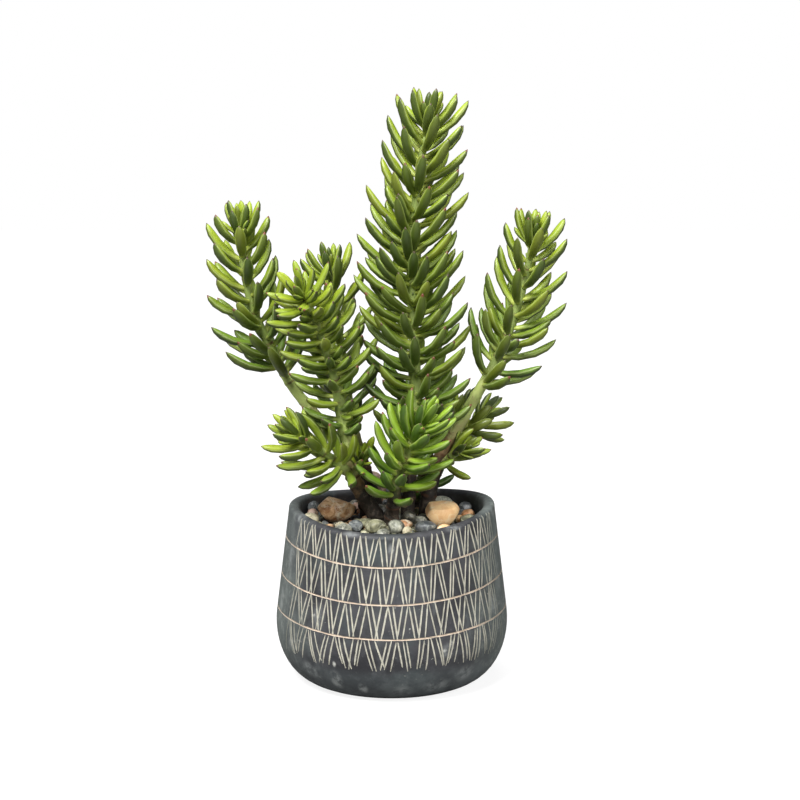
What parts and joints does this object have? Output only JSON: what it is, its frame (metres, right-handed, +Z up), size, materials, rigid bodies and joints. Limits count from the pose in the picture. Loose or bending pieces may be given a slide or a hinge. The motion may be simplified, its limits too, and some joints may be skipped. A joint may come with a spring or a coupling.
{
  "type": "potted finger cactus",
  "caption": "Jointed succulent with upright finger-leaved stems in a round dark stoneware pot, its soil covered with loose pebbles.",
  "frame": {"origin": "middle of the pot's foot, on the surface it stands on", "axes": "+Z up, the shown front faces -Y, +X to the viewer's right"},
  "size_m": [0.2136, 0.141, 0.3554],
  "materials": {
    "pot": "matte",
    "soil": "matte",
    "leaves": "satin",
    "bright_leaves": "satin",
    "deep_leaves": "satin",
    "stone_tan": "matte",
    "stone_brown": "matte",
    "stone_orange": "matte",
    "stone_pink": "matte",
    "stone_cream": "matte",
    "stone_olive": "matte",
    "stone_grey": "matte",
    "stone_slate": "matte",
    "stone_dark": "matte"
  },
  "bodies": {
    "root": {"pot": "pot", "soil": "soil", "stem_tall": "leaves", "stem_left": "leaves", "stem_middle": "leaves", "stem_back": "leaves", "stem_right": "leaves", "sprig_middle": "bright_leaves", "sprig_back": "deep_leaves", "stone_01": "stone_tan", "stone_02": "stone_brown", "stone_03": "stone_pink", "stone_04": "stone_orange", "stone_05": "stone_orange", "stone_06": "stone_tan", "stone_07": "stone_pink", "stone_08": "stone_slate", "stone_09": "stone_pink", "stone_10": "stone_olive", "stone_11": "stone_slate", "stone_12": "stone_cream", "stone_13": "stone_olive", "stone_14": "stone_grey", "stone_15": "stone_cream", "stone_16": "stone_slate", "stone_17": "stone_dark", "stone_18": "stone_grey", "stone_19": "stone_grey", "stone_20": "stone_slate", "stone_21": "stone_cream", "stone_22": "stone_dark", "stone_23": "stone_grey", "stone_24": "stone_slate", "stone_25": "stone_brown", "stone_26": "stone_olive", "stone_27": "stone_grey", "stone_28": "stone_dark", "stone_29": "stone_tan", "stone_30": "stone_slate", "stone_31": "stone_slate", "stone_32": "stone_olive", "stone_33": "stone_pink", "stone_34": "stone_grey", "stone_35": "stone_dark", "stone_36": "stone_cream", "stone_37": "stone_tan", "stone_38": "stone_slate", "stone_39": "stone_grey", "stone_40": "stone_slate", "stone_41": "stone_brown", "stone_42": "stone_olive"}
  },
  "joints": []
}
